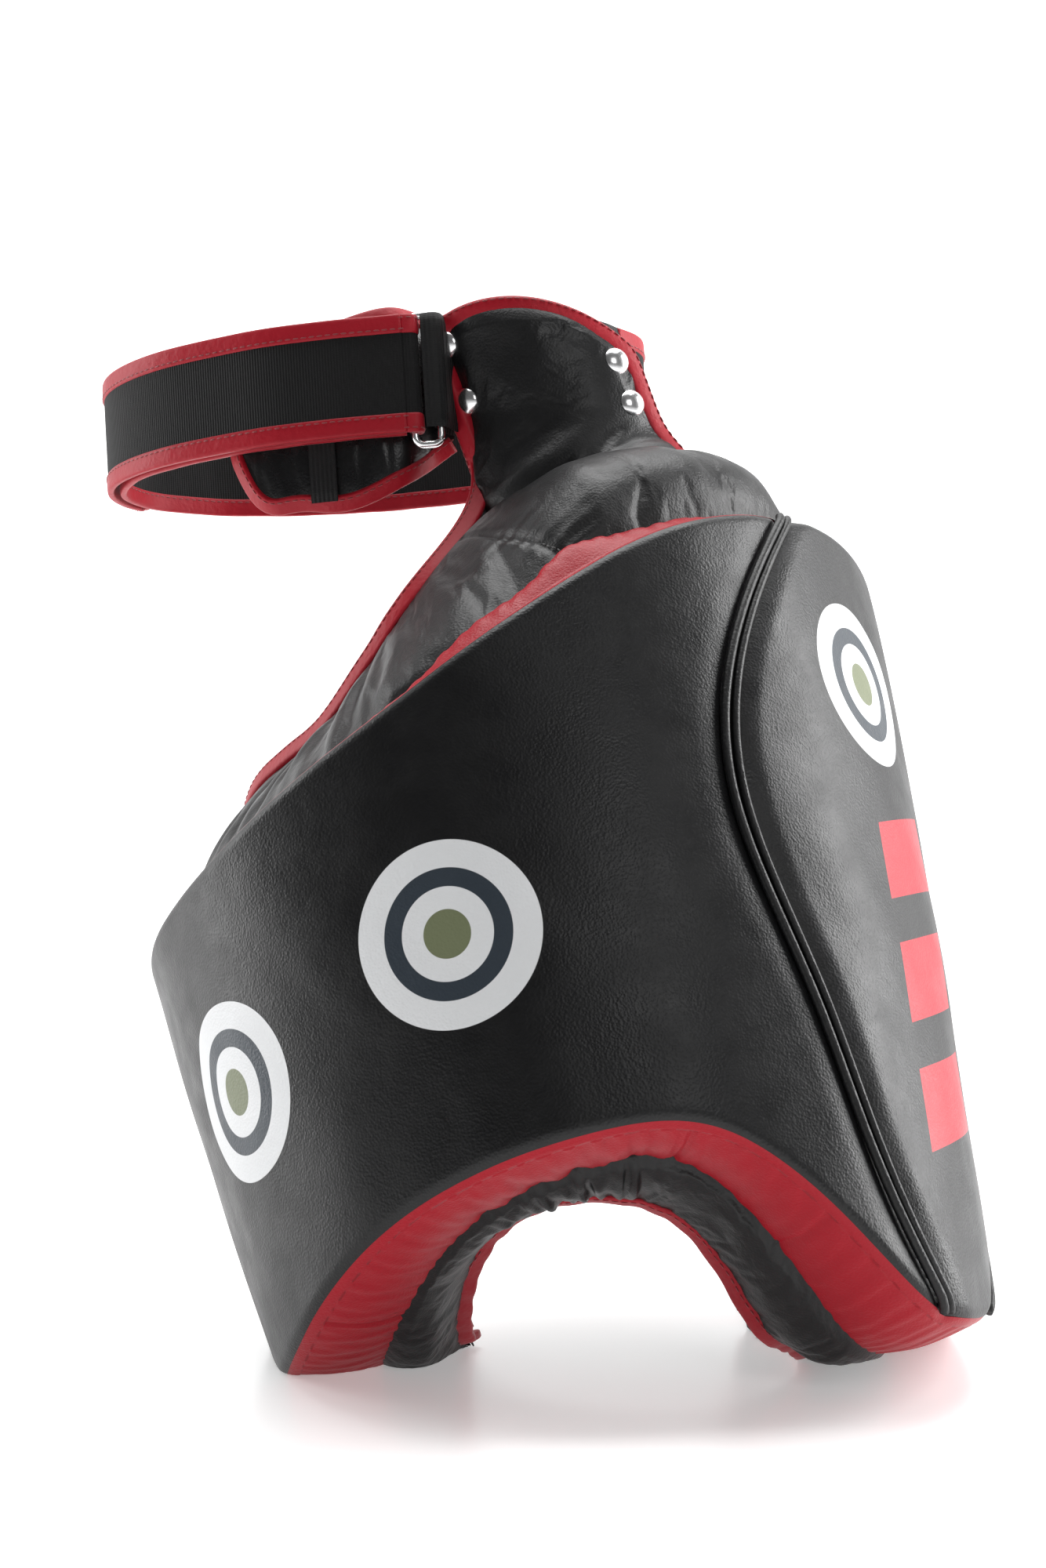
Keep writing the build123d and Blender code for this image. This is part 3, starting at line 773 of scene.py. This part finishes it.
for name, line in (("rim_binding_front", rim_line), ("rim_binding_rear", rim_back)):
    inward = LEG_O / 1000 + ((line - LEG_O / 1000) @ LEG_W)[:, None] * LEG_W - line
    edged(name, line, -unit(inward) + 0.3 * LEG_W, 9.5, 4.6, "pad", row=-0.3)
for name, angle in (("inner_end_binding", -97), ("rear_end_binding", 137)):
    s = np.linspace(0, 1, 200)
    h = rim_arch(angle) * (1 - s) + (rim_top(angle) - 2 - rim_drop(angle)) * s
    line = leg(angle + 0 * s, face_radius(h) - 85 + rim_out(angle) * s ** 3, h)
    line = resample(line[line[:, 2] > 0.006], 0.003)
    inward = LEG_O / 1000 + ((line - LEG_O / 1000) @ LEG_W)[:, None] * LEG_W - line
    edged(name, line, np.cross(np.gradient(line, axis=0), inward), 9.5, 4.2, "pad")

# Neck: padded tongue with a bound edge, folding at its foot
az = np.linspace(-45, 38, 120)[:, None]
t = np.linspace(0, 1, 110)[None, :]
foot = neck_foot(az) - 34
top = neck_top(az) - 1
h = foot * (1 - t) + top * t
above = step(0, 30, h - neck_foot(az))
u = (az + 45) / 83
pillow = 5.5 * (np.sin(math.pi * np.clip(u, 0.001, 0.999)) ** 0.45) * np.clip((top - h) / 9, 0, 1) ** 0.5
flare = 13 * (1 - step(-30, 22, h - neck_foot(az)))
crease = 1.1 * folds(h, az * 0.6, 81, 26, 4) * (1 - above) + 0.5 * folds(h, az * 0.8, 82, 40, 4)
spread = az + (az - 4) * 0.16 * (1 - step(-20, 30, h - neck_foot(az))) * (az > 4)
front = neck(spread, 64 + pillow + flare + crease, h)
back = neck(spread, 55 - 2.0 * (pillow / 5.5) + flare * 0.5, h)
neck_skin = inflated(grid("neck_front_leather", front), front.shape[:2], 1.6, 0.005, 3)
neck_front = finish_piece(neck_skin, "neck", None, "neck_cover", "neck_base", padded=0.8)
neck_back = finish_piece(grid("neck_back_leather", back, flip=True), "soft", None, "neck_backing", padded=0.8)
blends = [neck_front, neck_back]

left_h = np.linspace(float(neck_foot(-45)) - 12, float(neck_top(-45)) - 2, 60)
top_az = np.linspace(-45, 38, 120)
right_h = np.linspace(float(neck_top(38)) - 2, float(neck_foot(38)) - 22, 50)
right_az = 38 + 34 * 0.16 * (1 - step(-20, 30, right_h - float(neck_foot(38))))
right_flare = 13 * (1 - step(-30, 22, right_h - float(neck_foot(38))))
left_out = 5.5 * np.ones_like(left_h)
top_out = 5.5 * (1 - step(-45, -36, top_az)) + 1.5
bound = np.concatenate([neck(-45.8 + 0 * left_h, 60.0 + left_out, left_h)[:-2],
                        neck(top_az, 60.0 + top_out, neck_top(top_az) - 1)[2:-2],
                        neck(right_az - 0.4, 61 + right_flare, right_h)[2:]])
bound = resample(eased(resample(bound, 0.004), 2), 0.002)
out_dir = unit(bound - (NECK_O / 1000 + ((bound - NECK_O / 1000) @ NECK_W)[:, None] * NECK_W))
neck_edge = edged("neck_edge_binding", bound, out_dir, 10.5, 11.0, None, "neck_binding", row=-0.33)
blends += neck_edge

for i, (a, hh) in enumerate(RIVETS):
    seat = neck(a, 67.6, hh)
    n = unit(neck(a, 80, hh) - seat)
    e1 = unit(np.cross(n, NECK_W))
    e2 = np.cross(n, e1)
    turn = np.linspace(0, 2 * math.pi, 40, endpoint=False)
    profile = [(0.0, 3.0), (1.5, 2.95), (3.2, 2.6), (4.8, 1.95), (6.0, 1.15), (6.7, 0.35), (6.9, -0.4),
               (6.5, -1.2)]
    rings = [seat + (n * z + r * (np.cos(turn)[:, None] * e1 + np.sin(turn)[:, None] * e2)) / 1000
             for r, z in profile]
    cap = grid(f"rivet_cap_{i + 1}", np.array(rings), wrap_v=True, flip=True)
    finish_piece(cap, "chrome", "neck", *(("rivet_caps",) if i == 0 else ()))
    base = neck(a, 52.2, hh)
    rings = [base - (n * z - r * (np.cos(turn)[:, None] * e1 + np.sin(turn)[:, None] * e2)) / 1000
             for r, z in [(0, 1.3), (3, 1.25), (5.5, 0.9), (6.2, 0.2), (6.0, -0.8)]]
    washer = grid(f"rivet_washer_{i + 1}", np.array(rings), wrap_v=True)
    finish_piece(washer, "chrome", "neck", *(("rivet_posts",) if i == 0 else ()))

# Hip strap: an elastic loop from the neck, through a ring and back over itself
HIP_A, HIP_B, HALF, RING_AT = 143.0, 90.0, 29.0, 290.0


def on_loop(direction, offset=0.0):
    turn = np.radians(direction)
    a, b = HIP_A + offset, HIP_B + offset
    reach = a * b / np.sqrt((b * np.cos(turn)) ** 2 + (a * np.sin(turn)) ** 2)
    return reach * np.cos(turn), reach * np.sin(turn)


def band(name, directions, offset, low, high, thick, look, body, *nodes, slot=None, wave=0.6, seed=1,
         slack=None):
    """A strip of the hip loop between two heights, with rounded thickness."""
    d = np.asarray(directions, float)[:, None]
    slack = 0 if slack is None else slack(d)
    turn = np.linspace(0, 1, 17)[None, :]
    bend = wave * folds(d, turn * 10, seed, 25, 4)
    low, high = (np.asarray(v, float).reshape(-1, 1) for v in (low + 0 * d, high + 0 * d))
    rows_z = np.concatenate([turn, turn[:, ::-1]], 1)
    side = np.concatenate([0 * turn + 1, 0 * turn - 1], 1) * thick / 2
    lift = np.concatenate([bend, bend[:, ::-1]], 1)
    x, y = on_loop(d, offset + slack)
    x2, y2 = on_loop(d + 0.2, offset + slack)
    nx, ny = (y2 - y), -(x2 - x)
    n = np.hypot(nx, ny)
    z = low * (1 - rows_z) + high * rows_z
    round_off = np.sqrt(np.clip(1 - (2 * rows_z - 1) ** 16, 0, 1))
    px = x + nx / n * (side * round_off + lift)
    py = y + ny / n * (side * round_off + lift)
    return finish_piece(grid(name, hip(px, py, z), wrap_v=True, flip=True), look, body, *nodes, slot=slot)


def band_edge(name, directions, offset, z, body, *nodes, width=9.5, thick=3.6, wave=0.6, seed=1, up=1):
    d = np.asarray(directions, float)
    x, y = on_loop(d, offset)
    x2, y2 = on_loop(d + 0.2, offset)
    nx, ny = (y2 - y), -(x2 - x)
    n = np.hypot(nx, ny)
    share = 1.0 if up > 0 else 0.0
    lift = wave * folds(d, share * 10, seed, 25, 4)
    path = hip(x + nx / n * lift, y + ny / n * lift, z + 0 * d)
    away = hip(x + nx / n * 50, y + ny / n * 50, z + 0 * d) - hip(x, y, z + 0 * d)
    return edged(name, path, away, width, thick, body, *nodes, row=0.3 * up)


RUN = np.linspace(-14, RING_AT - 2.2, 300)
FREE = np.linspace(168.5, RING_AT - 2.6, 170)
band("strap_running_elastic", RUN, -3.5, -HALF + 3, HALF - 3, 2.2, "elastic", "neck", "strap_elastic", seed=3)
band_edge("strap_upper_binding", RUN, -3.5, HALF - 4.6, "neck", "strap_binding_upper", seed=3)
band_edge("strap_lower_binding", RUN, -3.5, -HALF + 4.6, "neck", "strap_binding_lower", seed=3, up=-1)
band("strap_free_elastic", FREE, 3.5, -HALF + 3, HALF - 3, 2.2, "elastic", "free_end", "strap_free_end",
     seed=4)
band_edge("free_end_upper_binding", FREE, 3.5, HALF - 4.6, "free_end", "free_end_binding_upper", seed=4)
band_edge("free_end_lower_binding", FREE, 3.5, -HALF + 4.6, "free_end", "free_end_binding_lower", seed=4,
          up=-1)
band("strap_loop_pile", np.linspace(200, 262, 60), -3.5 + 1.9, -19, 19, 1.2, "pile", "neck",
     "strap_loop_patch")
band("free_end_hook_pile", np.linspace(196, 250, 60), 3.5 - 1.9, -19, 19, 1.2, "pile", "free_end",
     "hook_patch")
zz = np.linspace(-HALF + 1, HALF - 1, 60)
x, y = on_loop(np.array([168.8]), 3.5)
x2, y2 = on_loop(np.array([169.2]), 3.5)
tip_path = hip(x + 0 * zz, y + 0 * zz, zz)
edged("free_end_tip_binding", tip_path, hip(x + (y2 - y) * 50, y - (x2 - x) * 50, 0 * zz) - hip(x, y,
                                                                                                0 * zz), 8.5,
      3.8, "free_end", "free_end_tip")

bar = np.array([*on_loop(RING_AT), 0])
along = unit(np.array([*on_loop(RING_AT + 3), 0]) - np.array([*on_loop(RING_AT - 3), 0]))
out = np.array([along[1], -along[0], 0])
hub = bar + along * 12.5


def hip_points(points):
    points = np.asarray(points, float)
    return hip(points[..., 0], points[..., 1], points[..., 2])


corners = []
for cx, cz, start in ((1, 1, 0), (0, 1, 90), (0, -1, 180), (1, -1, 270)):
    for a in np.radians(np.linspace(start, start + 90, 12)):
        p = bar + along * (4 + cx * 4.5 + 4 * math.cos(a)) + np.array([0, 0, cz * 28 - 3 + 4 * math.sin(a)])
        corners.append(p)
ring_path = hip_points(np.array(corners + corners[:1]))
ring = tube("hip_ring_wire", resample(ring_path, 0.001)[:-1], 1.75, 16, closed=True)
finish_piece(ring, "chrome", "ring", "hip_ring")


def strip(name, points, low, high, thick, look, body, *nodes, slot=None):
    """Webbing along a line in the hip loop's plane, standing between two heights."""
    line = resample(eased(np.array([[*p, 0.0] for p in points]) / 1000, 3), 0.0015) * 1000
    run = unit(np.gradient(line, axis=0))
    normal = np.stack([run[:, 1], -run[:, 0], 0 * run[:, 0]], -1)
    turn = np.linspace(0, 1, 15)
    ring_z = np.concatenate([turn, turn[::-1]])
    ring_s = np.concatenate([0 * turn + 1, 0 * turn - 1]) * thick / 2
    round_off = np.sqrt(np.clip(1 - (2 * ring_z - 1) ** 12, 0, 1))
    pts = line[:, None] + normal[:, None] * (ring_s * round_off)[:, None]
    pts[..., 2] = low + (high - low) * ring_z
    return finish_piece(grid(name, hip_points(pts), wrap_v=True), look, body, *nodes, slot=slot)


half_turn = np.radians(np.linspace(-90, 90, 14))
fold_line = [bar[:2] + along[:2] * 3.1 * math.cos(a) + out[:2] * 3.4 * math.sin(a) for a in half_turn]
fold_line = [fold_line[0] - along[:2] * 1.5] + fold_line + [fold_line[-1] - along[:2] * 4]
strip("strap_fold_elastic", fold_line, -HALF + 3, HALF - 3, 2.2, "elastic", "ring", "strap_fold")
fold_run = resample(eased(np.array([[*p, 0.0] for p in fold_line]) / 1000, 3), 0.001) * 1000
for way, name in ((1, "upper"), (-1, "lower")):
    line = hip_points(fold_run + [0, 0, way * (HALF - 4.6)])
    facing = line - hip_points(np.array([*(bar[:2] - along[:2] * 2), way * (HALF - 4.6)]))
    edged(f"strap_fold_{name}_binding", line, facing, 9.5, 3.6, "ring", row=0.3 * way)
anchor = [hub[:2] + along[:2] * s - out[:2] * i for s, i in [(-3.2, 0), (-1.5, 3.2), (0.5, 9), (3.5, 16),
                                                             (9, 22),
                                                             (14, 25)]]
outer_anchor = [hub[:2] + along[:2] * s - out[:2] * i for s, i in [(-6.9, -2.9), (-1, -3.9), (3.0, -2.0),
                                                                   (4.6, 5),
                                                                   (8, 12), (13, 18)]]
strip("ring_anchor_webbing", anchor, -27, 29, 1.8, "webbing", "neck", "ring_anchor")
strip("ring_anchor_front", outer_anchor, -27, 29.5, 1.8, "webbing", "neck")
tail = np.array(on_loop(-14, -3.5))
tab = [tail + d for d in ([2.0, 4], [-1, -4], [-6, -14], [-14, -24], [-24, -34])]
strip("strap_start_webbing", tab, -HALF, HALF, 2.4, "webbing", "neck", "strap_start_tab")

# Comfort flap inside the loop
flap_d = np.linspace(229.5, 308, 156)
flap_low = smooth_line([(229, -28), (234, -47), (247, -56), (262, -58.5), (281, -51.5), (309, -28)])(flap_d)
flap_high = smooth_line([(229, -20), (237, 8), (256, 25), (280, 32.5), (309, 31)])(flap_d)
flap_in = -10 - 17 * step(283, 303, flap_d)
middle_z, span_z = (flap_low + flap_high) / 2, (flap_high - flap_low) / 2
for side, skin in ((1, "outer"), (-1, "inner")):
    across_t = np.linspace(-1, 1, 40)[None, :]
    swollen = np.clip(1 - across_t ** 2, 0, 1) ** 0.5
    dome = side * (0.6 + 3.2 * swollen * np.minimum((flap_d - 229) / 8, 1)[:, None])
    dome = dome + 0.6 * pleats(flap_d[:, None], across_t * 4, 91, 9, 0.8) * (1 - across_t ** 2)
    x, y = on_loop(flap_d[:, None], flap_in[:, None] + dome)
    skin_points = hip(x, y, middle_z[:, None] + span_z[:, None] * across_t)
    finish_piece(grid(f"comfort_flap_{skin}", skin_points, flip=side > 0), "gloss", "neck",
                 *(("comfort_flap",) if side > 0 else ()), padded=0.8)
x, y = on_loop(flap_d, flap_in)
outline = np.concatenate([hip(x, y, flap_high)[::-1], hip(x, y, flap_low)])
outline = resample(eased(resample(outline, 0.006), 2), 0.002)
centre_line = hip(0, 0, 0)
edged("flap_edge_binding", outline, outline - centre_line, 8.6, 4.6, "neck", "comfort_flap_binding", row=-0.3)
keep_d = np.linspace(255, 264, 14)
band("flap_keeper_band", keep_d, -5.6, -58, 24, 1.6, "webbing", "neck", "flap_keeper", wave=0)

# Rear thigh straps
for name, height in (("lower", -60), ("upper", 22)):
    hold = face_radius(height + 23) + 2.6
    anchors = [(259.5, hold - 34), (235, hold - 33), (205, hold - 26), (175, hold - 14), (150, hold + 1.2),
               (132, hold + 1.2), (118, hold + 1.2)]
    curve = smooth_line([(a, r) for a, r in anchors])
    d = np.linspace(259.2, 119, 220)[:, None]
    turn = np.linspace(0, 1, 17)[None, :]
    ring_t = np.concatenate([turn, turn[:, ::-1]], 1)
    ring_s = np.concatenate([0 * turn + 1, 0 * turn - 1], 1) * 1.15
    ring_s = ring_s * np.sqrt(np.clip(1 - (2 * ring_t - 1) ** 14, 0, 1))
    points = leg(d, curve(d) + ring_s, height - 23 + 46 * ring_t)
    finish_piece(grid(f"thigh_strap_{name}_elastic", points[:190], wrap_v=True, flip=True), "elastic",
                 f"rear_strap_{name}", f"thigh_strap_{name}")
    finish_piece(grid(f"thigh_strap_{name}_hook_tab", points[189:], wrap_v=True, flip=True), "pile",
                 f"rear_strap_{name}", f"hook_tab_{name}")
    a = np.linspace(116, 136, 30)[:, None]
    z = np.linspace(height - 20, height + 20, 30)[None, :]
    patch = leg(a, face_radius(z) + 0.7 - 0 * a, z)
    finish_piece(grid(f"loop_patch_{name}_pile", patch), "pile", "pad", f"loop_patch_{name}")

# The foam is sealed inside the leather
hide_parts("impact_foam_outer", "impact_foam_middle")
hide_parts("neck_foam")

# The neck's leather and bindings: bake their transforms into their meshes
for piece in blends:
    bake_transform(piece)

# Camera, floor and light
view = bpy.data.cameras.new("camera")
view.lens = 50
view.sensor_width = 36
camera = bpy.data.objects.new("camera", view)
camera.location = (0.0064, -1.0565, 0.260)
camera.rotation_euler = (math.radians(90), 0, 0)
bpy.context.scene.collection.objects.link(camera)
bpy.context.scene.camera = camera

floor = mesh("floor", [(-6, -6, 0), (6, -6, 0), (6, 2.6, 0), (-6, 2.6, 0)], [(0, 1, 2, 3)])
floor_mat, nodes, links, main = shader("floor", (0.86, 0.86, 0.86), 0.28)
main.inputs["Emission Color"].default_value = (1, 1, 1, 1)
main.inputs["Emission Strength"].default_value = 0.30
floor.data.materials.append(floor_mat)
backdrop = mesh("backdrop", [(-6, 2.6, 0), (6, 2.6, 0), (6, 2.6, 6), (-6, 2.6, 6)], [(0, 1, 2, 3)])
back_mat, nodes, links, main = shader("backdrop", (0.8, 0.8, 0.8), 0.9)
main.inputs["Emission Color"].default_value = (1, 1, 1, 1)
main.inputs["Emission Strength"].default_value = 1.0
backdrop.data.materials.append(back_mat)

bpy.context.scene.view_settings.view_transform = "Standard"
world = bpy.data.worlds.new("studio")
bpy.context.scene.world = world
world.use_nodes = True
world.node_tree.nodes["Background"].inputs["Color"].default_value = (1, 1, 1, 1)
world.node_tree.nodes["Background"].inputs["Strength"].default_value = 0.10

LIGHTS = [("left_strip", (-1.35, 0.25, 0.55), 14, (0.4, 1.5)),
          ("right_strip", (1.35, 0.15, 0.60), 30, (0.5, 1.5)),
          ("top_soft", (0.0, 0.25, 2.0), 40, (1.8, 1.2)), ("front_soft", (0.9, -2.0, 1.3), 8, (0.8, 0.8))]
for name, spot, power, (wide, tall) in LIGHTS:
    lamp = bpy.data.lights.new(name, "AREA")
    lamp.shape = "RECTANGLE"
    lamp.size, lamp.size_y = wide, tall
    lamp.energy = power
    light = bpy.data.objects.new(name, lamp)
    light.location = spot
    aim = np.array([0, 0, 0.25]) - np.array(spot)
    tilt = math.atan2(math.hypot(aim[0], aim[1]), -aim[2])
    light.rotation_euler = (tilt, 0, math.atan2(aim[1], aim[0]) - math.pi / 2)
    bpy.context.scene.collection.objects.link(light)
